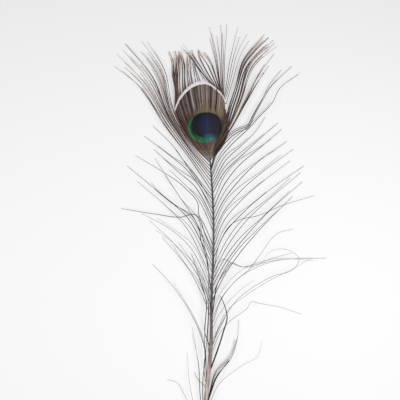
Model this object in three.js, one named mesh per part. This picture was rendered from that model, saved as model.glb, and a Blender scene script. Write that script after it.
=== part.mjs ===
// A peacock's tail feather, laid face up on a flat surface. X runs across it, Y from the quill's cut end to the
// crown, and Z up. One tapering shaft carries the two webs of the eye and the loose locks of barbs, which arch
// a little off the surface and come down to it at their tips.
import * as THREE from "three";

// Driving dimensions, in millimetres. Places are drawn from the quill's cut end, which is at height 0 up the feather.
const SHAFT_ROUTE = [
  [-4, 0], [-3, 30], [-0.7, 62], [2.8, 101], [3.2, 132], [4.5, 167], [4.5, 191], [2.5, 226], [0.8, 246],
];
const SHAFT_WIDTHS = [[0, 3.4], [62, 3.2], [92, 2.8], [112, 2], [160, 1.5], [210, 1.1], [246, 0.7]];
const SHAFT_DEPTH_TO_WIDTH = 0.85;
const SHAFT_FLAT = 0.7; // the underside is cut flat at this share of the half depth
const SHAFT_BOW = 3; // how far the shaft stands off the surface half way to the eye
const SHAFT_SIDES = 10;
const SHAFT_STEPS = 30;

const EYE_FOOT = 233; // height at which the eye's webs begin and the shaft's bow ends
const WEB_DEPTH = 1;
const GAP = 0.3;
const WEB_LEFT_EDGE = [[-4, 234], [-10.5, 240], [-17, 247], [-22, 256], [-22.5, 266], [-19, 273.5], [-12, 280]];
const WEB_RIGHT_EDGE = [[6, 236], [10, 241], [14, 248], [15, 258], [13.5, 268], [10, 275], [5, 280]];
const WEB_TOP = 284.5;

const BLADE_DEPTH = 0.5;
const LOCK_HALF_WIDTH = 2.2;
const BARB_HALF_WIDTH = 0.45;
const TIP_HALF_WIDTH = 0.25;
const LOCK_STEPS = 12;
const BARB_STEPS = 24;
const ARCH_TO_LENGTH = 0.05;
const LEVEL_RISE = 2; // a lock that crosses others passes this far above them
const LEVEL_START = 0.12; // share of its length in which it rises so far
const TIP_HEIGHT = 0.4;

// Each lock or barb: the height at which it leaves the shaft, then the places it passes through up to its tip.
const RIGHT_LOCKS = [
  [223, [15, 242], [28, 259], [41, 276], [59, 296]],
  [219, [17, 240], [33, 256], [47, 271], [64, 290]],
  [214, [14, 231], [24, 240], [34, 250], [41, 260]],
  [207, [12, 221], [23, 232], [35, 243], [50, 256]],
  [197, [12, 213], [22, 226], [35, 237], [52, 252]],
  [184, [10, 199], [21, 214], [36, 229], [56, 243]],
  [175, [11, 193], [23, 208], [40, 223], [60, 238]],
  [166, [11, 186], [24, 202], [40, 216], [58, 230]],
  [158, [12, 178], [26, 194], [42, 208], [68, 226]],
  [149, [13, 168], [27, 187], [44, 203], [66, 221]],
  [140, [11, 155], [23, 172], [40, 191], [67, 215]],
  [132, [11, 147], [22, 164], [38, 183], [60, 205]],
  [120, [11, 135], [24, 149], [42, 158], [84, 161]],
  [60, [6.5, 79], [17, 92], [21, 104], [22, 118]],
  [53, [8, 73], [24, 86], [36, 93], [39, 104]],
];
const LEFT_LOCKS = [
  [203, [-7, 216], [-14, 226], [-24, 240], [-38, 254]],
  [196, [-5, 211], [-13, 222], [-27, 234], [-44, 247]],
  [187, [-2.5, 202], [-8, 211], [-21, 223], [-37, 238]],
  [177, [-2, 195], [-8, 205], [-17, 214], [-27, 223]],
  [159, [-2, 175], [-9, 189], [-20, 205], [-37, 231]],
  [151, [-3.5, 172], [-13, 189], [-32, 206], [-56, 226]],
  [142, [-3.5, 162], [-14, 182], [-29, 198], [-49, 215]],
  [132, [-3, 153], [-11, 168], [-26, 182], [-46, 193]],
  [123, [-3, 143], [-10, 155], [-24, 172], [-41, 187]],
  [115, [-3.5, 136], [-10, 149], [-20, 163], [-32, 176]],
  [77, [-2, 100], [-10, 121], [-23, 141], [-38, 157]],
  [48, [-5, 66], [-6, 86], [-8, 98], [-11, 113]],
  [38, [-10, 62], [-12, 74], [-13, 83], [-14, 95]],
];
const SIDE_CROWN_LOCKS = [
  [210, [-12, 232], [-28, 254], [-46, 282], [-66, 300]],
  [217, [-11, 236], [-27, 259], [-42, 284], [-62, 307]],
  [224, [-12, 242], [-26, 264], [-38, 291], [-58, 314]],
  [230, [-12, 246], [-24, 269], [-32, 295], [-50, 317]],
  [227, [16, 247], [27, 270], [38, 292], [49, 307]],
  [230, [13, 247], [23, 272], [31, 297], [50, 314]],
];
// These locks go on from barbs of the eye, so each one starts on a web, near its upper edge.
const TOP_CROWN_LOCKS = [
  [[-19.5, 268], [-22, 276], [-24, 287], [-27, 307]],
  [[-17, 272], [-19, 280], [-20, 291], [-22, 307]],
  [[-13, 276], [-15, 284], [-15, 293], [-13, 308]],
  [[-8, 278], [-10, 286], [-11, 293], [-9, 302]],
  [[-4, 280], [-5, 288], [-6, 292], [-5, 299]],
  [[2, 278], [3.5, 283], [0, 294], [-7, 308]],
  [[5, 275], [6.5, 283], [4, 296], [-3, 309]],
  [[7, 273], [9, 283], [6.5, 300], [3, 327]],
  [[9, 271], [12, 282], [10, 298], [10, 314]],
  [[11, 268], [15, 280], [16, 300], [26, 327]],
  [[12.5, 264], [19, 277], [25, 297], [42, 317]],
];
// A stray is one barb or a thin lock that crosses others: the level that it crosses on comes first.
const STRAYS = [
  [1, [0, 277], [0, 287], [-8, 300], [-19, 311]],
  [1, 153, [10, 175], [18, 186], [22, 188], [35, 191], [52, 198], [75, 205]],
  [1, 108, [13, 129], [29, 149], [43, 170], [60, 182]],
  [2, 102, [20, 132], [45, 149], [61, 155], [64, 161], [57, 167], [46, 167], [40, 162]],
  [0, 96, [15, 122], [28, 130], [40, 130], [56, 126], [66, 123]],
  [1, 84, [11, 109], [14, 121], [12, 129], [9.5, 134]],
  [1, 165, [-2, 182], [-6, 190], [-9, 192], [-19, 190], [-35, 192], [-60, 196]],
  [2, 171, [-2, 185], [-6, 193], [-6, 198], [-16, 211], [-33, 223], [-50, 233]],
  [0, 33, [-9, 51], [-16, 66], [-21, 74], [-28, 76]],
];

const COLOURS = { shaft: 0xc9b8a8, web: 0x3c5a50, crown: 0x5d5048, vane: 0x77706c };

function between(table, height) {
  const above = table.findIndex(([h]) => h > height);
  const next = above < 0 ? table.length - 1 : Math.max(above, 1);
  const [[h0, v0], [h1, v1]] = [table[next - 1], table[next]];
  return v0 + (v1 - v0) * Math.min(Math.max((height - h0) / (h1 - h0), 0), 1);
}

const shaftAcross = (height) => between(SHAFT_ROUTE.map(([x, y]) => [y, x]), height);
const shaftWidth = (height) => between(SHAFT_WIDTHS, height);
const shaftLift = (height) => SHAFT_BOW * Math.sin(Math.PI * Math.min(height / EYE_FOOT, 1));
const shaftMiddle = (height) => shaftLift(height) + (shaftWidth(height) * SHAFT_DEPTH_TO_WIDTH * SHAFT_FLAT) / 2;

// Bends a unit box or cylinder that stands along Y round a curve: its X becomes the way across the curve, in the
// plane, and its Z stays up. At each share of the curve's length, the section gives the size across, the size up
// and how far the middle is lifted.
function bendAlong(geometry, curve, section) {
  const place = geometry.getAttribute("position");
  const up = new THREE.Vector3(0, 0, 1);
  const point = new THREE.Vector3();
  for (let i = 0; i < place.count; i++) {
    const share = Math.min(Math.max(place.getY(i) + 0.5, 0), 1);
    const tangent = curve.getTangentAt(share).setZ(0).normalize();
    const across = new THREE.Vector3().crossVectors(tangent, up);
    const size = section(share);
    point.copy(curve.getPointAt(share));
    point.addScaledVector(across, place.getX(i) * size.across);
    point.addScaledVector(up, place.getZ(i) * size.up + size.lift);
    place.setXYZ(i, point.x, point.y, point.z);
  }
  return geometry;
}

function mesh(name, geometry, colour) {
  const material = new THREE.MeshStandardMaterial({ color: colour, roughness: 0.7, metalness: 0 });
  const made = new THREE.Mesh(geometry, material);
  made.name = name;
  return made;
}

function makeShaft() {
  const rod = new THREE.CylinderGeometry(1, 1, 1, SHAFT_SIDES, SHAFT_STEPS);
  const place = rod.getAttribute("position");
  for (let i = 0; i < place.count; i++) place.setZ(i, Math.max(place.getZ(i), -SHAFT_FLAT));
  const route = new THREE.CatmullRomCurve3(SHAFT_ROUTE.map(([x, y]) => new THREE.Vector3(x, y, 0)));
  const section = (share) => {
    const height = route.getPointAt(share).y;
    const across = shaftWidth(height) / 2;
    const up = across * SHAFT_DEPTH_TO_WIDTH;
    return { across, up, lift: shaftLift(height) + up * SHAFT_FLAT };
  };
  bendAlong(rod, route, section);
  return mesh("shaft", rod, COLOURS.shaft);
}

// One web of the eye: a flat plate between the shaft's edge and a smooth outer edge. Side is -1 left, 1 right.
function makeWeb(name, outerEdge, side) {
  const inner = (height) => shaftAcross(height) + side * (shaftWidth(height) / 2 + GAP);
  const seam = [EYE_FOOT, 240, 246, 260, WEB_TOP - 2].map(
    (height) => new THREE.Vector2(height < 246 ? inner(height) : inner(246), height),
  );
  const rim = new THREE.SplineCurve([
    seam[0],
    ...outerEdge.map(([x, y]) => new THREE.Vector2(x, y)),
    new THREE.Vector2(seam[4].x, side < 0 ? WEB_TOP : WEB_TOP - 1),
  ]);
  const outline = [...rim.getPoints(20), ...seam.slice(1).reverse()];
  const plate = new THREE.ExtrudeGeometry(new THREE.Shape(outline), { depth: WEB_DEPTH, bevelEnabled: false });
  return mesh(name, plate, COLOURS.web);
}

// The route of a lock or barb in plan. It starts beside the shaft where a height is given, or at its own first place.
function planRoute(places) {
  const [first, ...rest] = places;
  if (Array.isArray(first)) return places.map(([x, y]) => new THREE.Vector3(x, y, 0));
  const side = Math.sign(rest[1][0] - shaftAcross(rest[1][1]));
  const start = shaftAcross(first) + side * (shaftWidth(first) / 2 + GAP + TIP_HALF_WIDTH);
  return [new THREE.Vector3(start, first, 0), ...rest.map(([x, y]) => new THREE.Vector3(x, y, 0))];
}

// The same route lifted off the surface: from the shaft or web it arches up and comes down to its tip.
function liftedRoute(plan, level) {
  const flat = new THREE.CatmullRomCurve3(plan);
  const length = flat.getLength();
  const rootHeight = Math.max(shaftMiddle(plan[0].y), WEB_DEPTH + GAP / 2 + BLADE_DEPTH / 2);
  const lifted = flat.getSpacedPoints(LOCK_STEPS).map((point, i) => {
    const share = i / LOCK_STEPS;
    const straight = rootHeight + (TIP_HEIGHT - rootHeight) * share;
    const arch = ARCH_TO_LENGTH * length * Math.sin(Math.PI * share);
    const rise = level * LEVEL_RISE * Math.min(share / LEVEL_START, 1);
    return point.setZ(straight + arch + rise);
  });
  return new THREE.CatmullRomCurve3(lifted);
}

// Distance in plan from a point to the nearest of the other routes on its level.
function roomAt(point, others) {
  const gaps = others.flatMap((other) => other.samples.map((q) => Math.hypot(q.x - point.x, q.y - point.y)));
  return Math.min(...gaps);
}

function makeBlade(blade, blades) {
  const others = blades.filter((other) => other !== blade && other.level === blade.level);
  const steps = blade.stray ? BARB_STEPS : LOCK_STEPS;
  const widest = blade.stray ? BARB_HALF_WIDTH : LOCK_HALF_WIDTH;
  const section = (share) => {
    const point = blade.route.getPointAt(share);
    const fullness = TIP_HALF_WIDTH + (widest - TIP_HALF_WIDTH) * Math.sin(Math.PI * share ** 0.7);
    const room = roomAt(point, others) / 2 - GAP / 2;
    const toShaft = Math.abs(point.x - shaftAcross(point.y)) - shaftWidth(point.y) / 2 - GAP / 2;
    const half = Math.max(Math.min(fullness, room, toShaft), TIP_HALF_WIDTH / 2);
    return { across: 2 * half, up: BLADE_DEPTH, lift: 0 };
  };
  const box = new THREE.BoxGeometry(1, 1, 1, 1, steps, 1);
  return mesh(blade.name, bendAlong(box, blade.route, section), blade.colour);
}

function planBlades() {
  const groups = [
    ["crown_side_lock", COLOURS.crown, SIDE_CROWN_LOCKS.map((places) => [0, ...places])],
    ["crown_top_lock", COLOURS.crown, TOP_CROWN_LOCKS.map((places) => [0, ...places])],
    ["vane_right_lock", COLOURS.vane, RIGHT_LOCKS.map((places) => [0, ...places])],
    ["vane_left_lock", COLOURS.vane, LEFT_LOCKS.map((places) => [0, ...places])],
    ["stray_barb", COLOURS.vane, STRAYS],
  ];
  return groups.flatMap(([kind, colour, rows]) =>
    rows.map(([level, ...places], i) => {
      const route = liftedRoute(planRoute(places), level);
      const name = `${kind}_${String(i + 1).padStart(2, "0")}`;
      return { name, colour, level, route, samples: route.getSpacedPoints(60), stray: kind === "stray_barb" };
    }),
  );
}

const feather = new THREE.Group();
feather.add(makeShaft());
feather.add(makeWeb("eye_web_left", WEB_LEFT_EDGE, -1));
feather.add(makeWeb("eye_web_right", WEB_RIGHT_EDGE, 1));
const blades = planBlades();
blades.forEach((blade) => feather.add(makeBlade(blade, blades)));

// The part's origin is the middle of its box, on the surface that it lies on.
const box = new THREE.Box3().setFromObject(feather);
const middle = box.getCenter(new THREE.Vector3());
feather.position.set(-middle.x, -middle.y, -box.min.z);

export default feather;
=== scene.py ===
import bpy
import numpy as np
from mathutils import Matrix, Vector


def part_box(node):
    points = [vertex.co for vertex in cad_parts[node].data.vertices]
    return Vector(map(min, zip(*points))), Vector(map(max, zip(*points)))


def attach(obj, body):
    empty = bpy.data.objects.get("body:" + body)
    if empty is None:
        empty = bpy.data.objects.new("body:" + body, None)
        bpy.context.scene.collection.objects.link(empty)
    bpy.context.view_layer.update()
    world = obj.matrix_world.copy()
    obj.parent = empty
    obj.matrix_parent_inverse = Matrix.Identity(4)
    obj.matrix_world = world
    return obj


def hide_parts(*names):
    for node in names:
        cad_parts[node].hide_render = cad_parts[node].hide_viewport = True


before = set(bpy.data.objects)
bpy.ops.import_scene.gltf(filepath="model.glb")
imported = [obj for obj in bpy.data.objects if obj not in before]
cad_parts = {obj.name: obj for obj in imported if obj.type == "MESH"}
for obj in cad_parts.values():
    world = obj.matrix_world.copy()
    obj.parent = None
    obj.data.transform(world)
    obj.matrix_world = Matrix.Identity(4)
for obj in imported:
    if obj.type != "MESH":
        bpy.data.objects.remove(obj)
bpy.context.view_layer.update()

# ------------------------------------------------------------------------------
# Camera, table and light. The feather lies on a pale table and is seen from straight above, in soft light.
# Places are drawn in millimetres: x across, y up the feather and z off the table, and the quill's cut end
# lies at (-4, 0). The shaft's box ties the drawing to the frame.
# ------------------------------------------------------------------------------
MM = 0.001
QUILL_END_ACROSS = -4.0
QUILL_WIDTH = 3.4
VIEW_MIDDLE = (-4.9, 202.0)
VIEW_ACROSS = 280.0
FEATHER_LEVEL = 3.0
LENS = 100.0
SENSOR = 36.0
TABLE_HALF = 6000.0
TABLE_COLOUR = (0.5, 0.5, 0.505, 1.0)
TABLE_GLOW = 0.47
SURROUND_STRENGTH = 0.1
# Each panel: its name, its place, the place that it faces, its size and its power in watts.
PANELS = (
    ("panel_right", (180, 140, 380), (0, 60, 0), 200.0, 1.18),
    ("panel_left", (-320, 120, 450), (-60, 150, 0), 300.0, 1.4),
)

shaft_corner = np.array(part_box("shaft")[0])
drawing_zero = np.array([shaft_corner[0] + (QUILL_WIDTH / 2 - QUILL_END_ACROSS) * MM, shaft_corner[1], 0.0])


def in_frame(places):
    """Drawing millimetres to metres in the frame: the drawing's zero plus each place."""
    return drawing_zero + np.asarray(places) * MM


camera_data = bpy.data.cameras.new("overhead_camera")
camera_data.lens = LENS
camera_data.sensor_width = SENSOR
camera_data.sensor_fit = "HORIZONTAL"
camera_data.clip_start = 0.01
camera = bpy.data.objects.new("overhead_camera", camera_data)
camera.location = in_frame([*VIEW_MIDDLE, FEATHER_LEVEL + VIEW_ACROSS * LENS / SENSOR])
bpy.context.scene.collection.objects.link(camera)
bpy.context.scene.camera = camera

table_data = bpy.data.meshes.new("table_top")
table_corners = np.array([(-1, -1, 0), (1, -1, 0), (1, 1, 0), (-1, 1, 0)]) * TABLE_HALF
table_data.from_pydata(in_frame(table_corners).tolist(), [], [(0, 1, 2, 3)])
table_material = bpy.data.materials.new("pale_table")
table_material.use_nodes = True
table_shader = table_material.node_tree.nodes["Principled BSDF"]
table_shader.inputs["Base Color"].default_value = TABLE_COLOUR
table_shader.inputs["Roughness"].default_value = 0.9
table_shader.inputs["Specular IOR Level"].default_value = 0.1
table_shader.inputs["Emission Color"].default_value = (1.0, 1.0, 1.0, 1.0)
table_shader.inputs["Emission Strength"].default_value = TABLE_GLOW
table_data.materials.append(table_material)
table_top = bpy.data.objects.new("table_top", table_data)
bpy.context.scene.collection.objects.link(table_top)

surround = bpy.data.worlds.new("soft_surround")
surround.use_nodes = True
surround.node_tree.nodes["Background"].inputs["Color"].default_value = (1.0, 1.0, 1.0, 1.0)
surround.node_tree.nodes["Background"].inputs["Strength"].default_value = SURROUND_STRENGTH
bpy.context.scene.world = surround
bpy.context.scene.view_settings.view_transform = "Standard"

for panel_name, panel_place, panel_aim, panel_size, panel_power in PANELS:
    panel_data = bpy.data.lights.new(panel_name, "AREA")
    panel_data.size = panel_size * MM
    panel_data.energy = panel_power
    panel = bpy.data.objects.new(panel_name, panel_data)
    panel.location = in_frame(panel_place)
    panel_facing = Vector(in_frame(panel_aim) - in_frame(panel_place))
    panel.rotation_euler = panel_facing.to_track_quat("-Z", "Y").to_euler()
    bpy.context.scene.collection.objects.link(panel)

# ------------------------------------------------------------------------------
# Shaft. One horn rod, grown in one piece: a bare round quill with a cut end and pale pith inside, then a
# rachis with a flat, grooved underside that thins and darkens up to the eye. Barbs grow from its sides.
# ------------------------------------------------------------------------------
SHAFT_ROUTE = np.array([
    (QUILL_END_ACROSS, 0), (-3, 30), (-0.7, 62), (2.8, 101), (3.2, 132), (4.5, 167),
    (4.5, 191), (2.5, 226), (0.8, 246),
])
SHAFT_WIDTHS = np.array([
    (0, QUILL_WIDTH), (62, 3.2), (92, 2.8), (112, 2.0), (160, 1.5), (210, 1.1), (246, 0.7),
])
SHAFT_DEPTH_TO_WIDTH = 0.85
SHAFT_FLAT = 0.7
SHAFT_BOW = 3.0
EYE_FOOT = 233.0
GROOVE_FROM, GROOVE_TO = 34.0, 52.0
GROOVE_DEPTH = 0.3
GROOVE_HALF_ANGLE = 0.35
# The rings of the cut end, from the pith's middle out to the horn's edge, and of the closed tip. Each one
# is a share of the shaft's width there and the millimetres by which it is set back.
CUT_END = ((0.15, 0.35), (0.432, 0.4), (0.72, 0.5), (0.72, 0.08), (0.75, 0.0), (0.96, 0.0), (1.0, 0.08))
TIP_END = ((0.6, 0.0), (0.2, 0.25))
SHAFT_ROWS = 150
SHAFT_COLUMNS = 32
CURVE_STEPS = 400
HORN_DRIFT = 0.07
# Each stop: a share of the way up the shaft and the colour there, in display values.
SHAFT_STOPS = (
    (0.0, (214, 206, 196)),
    (0.24, (214, 204, 198)),
    (0.34, (186, 162, 158)),
    (0.41, (112, 90, 90)),
    (0.5, (56, 46, 48)),
    (1.0, (40, 33, 36)),
)


def smooth_through(places, count):
    """Points at equal steps along the smooth curve through the places. The curve is a cubic between
    neighbours, its slope at each place is that of the parabola through it and its two neighbours, and it
    sets out and ends straight towards the next place."""
    places = np.asarray(places, float)
    chord = np.concatenate([[0], np.cumsum(np.linalg.norm(np.diff(places, axis=0), axis=1))])
    slope = np.gradient(places, chord, axis=0)
    fine = np.linspace(0, chord[-1], CURVE_STEPS)
    left = np.clip(np.searchsorted(chord, fine, side="right") - 1, 0, len(chord) - 2)
    step = (chord[left + 1] - chord[left])[:, None]
    u = (fine - chord[left])[:, None] / step
    curve = (
        (2 * u**3 - 3 * u**2 + 1) * places[left]
        + (u**3 - 2 * u**2 + u) * step * slope[left]
        + (3 * u**2 - 2 * u**3) * places[left + 1]
        + (u**3 - u**2) * step * slope[left + 1]
    )
    run = np.concatenate([[0], np.cumsum(np.linalg.norm(np.diff(curve, axis=0), axis=1))])
    even = np.linspace(0, run[-1], count)
    return np.stack([np.interp(even, run, curve[:, k]) for k in range(curve.shape[1])], axis=1)


shaft_line = smooth_through(SHAFT_ROUTE, SHAFT_ROWS)


def shaft_across(height):
    """How far across the drawing the shaft's middle lies at a height, read off along its line."""
    return np.interp(height, shaft_line[:, 1], shaft_line[:, 0])


def shaft_half_width(height):
    """Half the shaft's width at a height, which falls evenly from each of its widths to the next."""
    return np.interp(height, SHAFT_WIDTHS[:, 0], SHAFT_WIDTHS[:, 1]) / 2


def shaft_middle(height):
    """Height of the shaft's middle over the table: a half sine bow plus half the flattened rod's depth."""
    bow = SHAFT_BOW * np.sin(np.pi * np.minimum(np.asarray(height) / EYE_FOOT, 1))
    return bow + shaft_half_width(height) * SHAFT_DEPTH_TO_WIDTH * SHAFT_FLAT


def smooth_step(amount):
    """0 at 0 and below, 1 at 1 and above, and three times the square less twice the cube between."""
    amount = np.clip(amount, 0, 1)
    return amount * amount * (3 - 2 * amount)


def grid_faces(rows, columns, closed):
    """Quads of a grid of rows by columns of corners. Closed joins the last column to the first."""
    i, j = np.meshgrid(np.arange(rows - 1), np.arange(columns if closed else columns - 1), indexing="ij")
    k = (j + 1) % columns
    here, above = i * columns, (i + 1) * columns
    return np.stack([here + j, above + j, above + k, here + k], axis=-1).reshape(-1, 4)


def end_caps(rows, columns):
    """The two faces that close a grid joined in the round: its first row, and its last row turned over."""
    ring = np.arange(columns)
    return np.stack([ring, (rows - 1) * columns + ring[::-1]])


def make_piece(name, node, corners, faces, material, chart, marks):
    """One piece of the feather in place of a CAD node, from corners in the drawing and a list of face
    arrays. Chart is the share along and the row across for each corner, and marks are further numbers for
    the finish."""
    data = bpy.data.meshes.new(name)
    loops = np.concatenate([part.ravel() for part in faces]).astype(np.int32)
    sides = np.concatenate([np.full(len(part), part.shape[1]) for part in faces])
    data.vertices.add(len(corners))
    data.vertices.foreach_set("co", in_frame(corners).astype(np.float32).ravel())
    data.loops.add(len(loops))
    data.loops.foreach_set("vertex_index", loops)
    data.polygons.add(len(sides))
    data.polygons.foreach_set("loop_start", np.concatenate([[0], np.cumsum(sides)[:-1]]).astype(np.int32))
    data.update(calc_edges=True)
    data.polygons.foreach_set("use_smooth", np.ones(len(sides), bool))
    layer = data.uv_layers.new(name="OFBake")
    layer.data.foreach_set("uv", np.stack(chart, axis=1)[loops].astype(np.float32).ravel())
    for mark, values in marks.items():
        store = data.attributes.new(mark, "FLOAT", "POINT")
        store.data.foreach_set("value", values.astype(np.float32))
    data.materials.append(material)
    piece = bpy.data.objects.new(name, data)
    bpy.context.scene.collection.objects.link(piece)
    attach(piece, "root")
    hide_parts(node)


def paint(red, green, blue):
    """A display colour of 0 to 255 as the linear colour that the shader takes."""
    share = np.array([red, green, blue]) / 255
    linear = np.where(share <= 0.04045, share / 12.92, ((share + 0.055) / 1.055) ** 2.4)
    return (*linear.tolist(), 1.0)


class Finish:
    """A new material and short calls that add nodes to it and join them."""

    def __init__(self, name, roughness, gloss):
        self.material = bpy.data.materials.new(name)
        self.material.use_nodes = True
        self.nodes = self.material.node_tree.nodes
        self.shader = self.nodes["Principled BSDF"]
        self.shader.inputs["Roughness"].default_value = roughness
        self.shader.inputs["Specular IOR Level"].default_value = gloss

    def set(self, socket, value):
        """Gives a socket a plain value, or joins it to another node's output."""
        if isinstance(value, bpy.types.NodeSocket):
            self.material.node_tree.links.new(value, socket)
        else:
            socket.default_value = value

    def mark(self, name):
        """The number that each corner carries under a name."""
        node = self.nodes.new("ShaderNodeAttribute")
        node.attribute_name = name
        return node.outputs["Fac"]

    def math(self, operation, *values):
        """A sum worked out from plain numbers and other nodes' outputs."""
        node = self.nodes.new("ShaderNodeMath")
        node.operation = operation
        for socket, value in zip(node.inputs, values):
            self.set(socket, value)
        return node.outputs[0]

    def product(self, *masks):
        """All the masks multiplied together."""
        whole = masks[0]
        for mask in masks[1:]:
            whole = self.math("MULTIPLY", whole, mask)
        return whole

    def step(self, amount, low, high):
        """0 below low, 1 above high and a smooth rise between. With low above high it falls instead."""
        node = self.nodes.new("ShaderNodeMapRange")
        node.interpolation_type = "SMOOTHSTEP"
        self.set(node.inputs["Value"], amount)
        self.set(node.inputs["From Min"], low)
        self.set(node.inputs["From Max"], high)
        return node.outputs["Result"]

    def mix(self, amount, first, second):
        """A blend of two colours, all first at 0 and all second at 1."""
        node = self.nodes.new("ShaderNodeMix")
        node.data_type = "RGBA"
        self.set(node.inputs["Factor"], amount)
        colours = [socket for socket in node.inputs if socket.type == "RGBA"]
        self.set(colours[0], first)
        self.set(colours[1], second)
        return next(socket for socket in node.outputs if socket.type == "RGBA")

    def ramp(self, amount, stops):
        """A colour ramp through stops, each a place from 0 to 1 and a display colour."""
        node = self.nodes.new("ShaderNodeValToRGB")
        elements = node.color_ramp.elements
        elements[0].position, elements[1].position = stops[0][0], stops[-1][0]
        elements[0].color, elements[1].color = paint(*stops[0][1]), paint(*stops[-1][1])
        for place, colour in stops[1:-1]:
            elements.new(place).color = paint(*colour)
        self.set(node.inputs["Fac"], amount)
        return node.outputs["Color"]

    def noise(self, per_mm, across, along):
        """Noise at Object coordinates: so many patches to the millimetre, drawn out across and along."""
        place = self.nodes.new("ShaderNodeTexCoord").outputs["Object"]
        mapping = self.nodes.new("ShaderNodeMapping")
        self.set(mapping.inputs["Vector"], place)
        mapping.inputs["Scale"].default_value = (1 / across, 1 / along, 1 / across)
        node = self.nodes.new("ShaderNodeTexNoise")
        self.set(node.inputs["Vector"], mapping.outputs["Vector"])
        node.inputs["Scale"].default_value = per_mm / MM
        node.inputs["Detail"].default_value = 2.0
        return node.outputs["Fac"]

    def bump(self, height, strength, depth):
        """Raises the surface by a height from 0 to 1, of so many millimetres at a strength of 1."""
        node = self.nodes.new("ShaderNodeBump")
        self.set(node.inputs["Height"], height)
        node.inputs["Strength"].default_value = strength
        node.inputs["Distance"].default_value = depth * MM
        self.set(self.shader.inputs["Normal"], node.outputs["Normal"])


shaft_ahead = np.gradient(shaft_line, axis=0)
shaft_ahead /= np.linalg.norm(shaft_ahead, axis=1, keepdims=True)
shaft_turn = np.linspace(0, 2 * np.pi, SHAFT_COLUMNS, endpoint=False)


def shaft_ring(row, scale, sink):
    """One ring round the shaft at a row of its route: a circle with its underside cut flat and a groove
    let into the cut, drawn in by scale and set back along the shaft by sink millimetres."""
    height = shaft_line[row, 1]
    grooved = np.clip((height - GROOVE_FROM) / (GROOVE_TO - GROOVE_FROM), 0, 1)
    from_under = (shaft_turn - 1.5 * np.pi) / GROOVE_HALF_ANGLE
    up = np.maximum(np.sin(shaft_turn), -SHAFT_FLAT) + GROOVE_DEPTH * grooved * np.exp(-(from_under**2))
    across = np.cos(shaft_turn) * shaft_half_width(height) * scale
    ahead = shaft_ahead[row]
    x = shaft_line[row, 0] + across * ahead[1] + sink * ahead[0]
    y = shaft_line[row, 1] - across * ahead[0] + sink * ahead[1]
    z = shaft_middle(height) + up * shaft_half_width(height) * SHAFT_DEPTH_TO_WIDTH * scale
    return np.stack([x, y, z], axis=-1)


# The cut end, the shaft itself and the closed tip: row, scale and sink.
last_row = SHAFT_ROWS - 1
ring_places = [(0, *ring) for ring in CUT_END]
ring_places += [(row, 1.0, 0.0) for row in range(1, last_row)]
ring_places += [(last_row, *ring) for ring in TIP_END]
shaft_rings = np.stack([shaft_ring(*place) for place in ring_places])

horn = Finish("shaft_horn", roughness=0.35, gloss=0.4)
horn_along = horn.mark("along")
horn_streak = horn.noise(per_mm=0.9, across=1.0, along=16.0)
horn_speck = horn.noise(per_mm=3.0, across=1.0, along=3.0)
horn_patch = horn.noise(per_mm=0.08, across=1.0, along=2.0)
# The stops lie up to the drift higher or lower in each patch.
horn_place = horn.math("MULTIPLY_ADD", horn_patch, 2 * HORN_DRIFT, horn_along)
horn_colour = horn.ramp(horn.math("SUBTRACT", horn_place, HORN_DRIFT), SHAFT_STOPS)
horn_colour = horn.mix(horn.step(horn_streak, 0.42, 0.75), horn_colour, paint(92, 74, 72))
horn_pale = horn.product(horn.step(horn_speck, 0.6, 0.8), horn.step(horn_along, 0.48, 0.36))
horn_colour = horn.mix(horn_pale, horn_colour, paint(228, 216, 206))
horn.set(horn.shader.inputs["Base Color"], horn_colour)
horn.bump(horn_streak, strength=0.3, depth=0.1)

shaft_chart = (
    np.repeat(np.linspace(0, 1, len(shaft_rings)), SHAFT_COLUMNS),
    np.tile(np.linspace(0.02, 0.98, SHAFT_COLUMNS), len(shaft_rings)),
)
make_piece(
    "quill_and_rachis",
    "shaft",
    shaft_rings.reshape(-1, 3),
    [grid_faces(len(shaft_rings), SHAFT_COLUMNS, True), end_caps(len(shaft_rings), SHAFT_COLUMNS)],
    horn.material,
    shaft_chart,
    {"along": shaft_rings[..., 1].ravel() / SHAFT_ROUTE[-1, 1]},
)

# ------------------------------------------------------------------------------
# Eye. Each web is made of barbs that leave the shaft bowed outwards and lie side by side, with flat
# barbules that overlap into a closed, shimmering surface. They carry the blue heart, the green crescent
# and the bronze field.
# ------------------------------------------------------------------------------
# Each guide is a line that the barbs above the eye follow, from the middle of the pale rim to their tips.
CROWN_GUIDES = (
    [(-20.7, 267.5), (-22, 280), (-23.5, 289), (-24, 300), (-26.5, 307)],
    [(-18.7, 272.6), (-20.5, 285), (-20, 300), (-21, 307)],
    [(-15.2, 277.3), (-16.2, 286), (-16, 293), (-17, 299), (-19.5, 306)],
    [(-11, 281), (-12.2, 286), (-13.2, 293), (-12, 305)],
    [(-6, 283.3), (-7, 288), (-8, 293), (-9, 300)],
    [(-1.2, 283.6), (-2.5, 287), (-5.5, 293), (-10.5, 300.5), (-19, 311)],
    [(2.6, 282.2), (-1, 288), (-5, 293.7), (-9.5, 300.5), (-15.5, 307.5)],
    [(5.4, 280), (3.5, 284.5), (0, 290.5), (-3.5, 297), (-6.5, 303), (-6.7, 307.5)],
    [(7.6, 278), (6.8, 284), (5, 291.5), (3, 297), (-0.5, 302), (-6.5, 307.5)],
    [(9.8, 275.7), (8.4, 285), (6.5, 300), (1, 324)],
    [(11.5, 272.2), (15, 283), (17.6, 300), (25, 326)],
    [(13.2, 249), (15.6, 264), (20.5, 280), (25.5, 297), (42, 317)],
)
EYE_MIDDLE = (-0.2, 254.8)
ROOT_LOW, ROOT_HIGH = 229.0, 245.0
ROOT_CROWDING = 0.8
ROOT_GAP = 0.1
LEFT_SPREAD, RIGHT_SPREAD = 23.0, 15.5
EYE_BOW = 0.14
RIM_OUTSET = 1.6
RIM_BREADTH = 2.5
RIM_TOP_ORDER = 4.6
RIM_THINNING = 0.024
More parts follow.
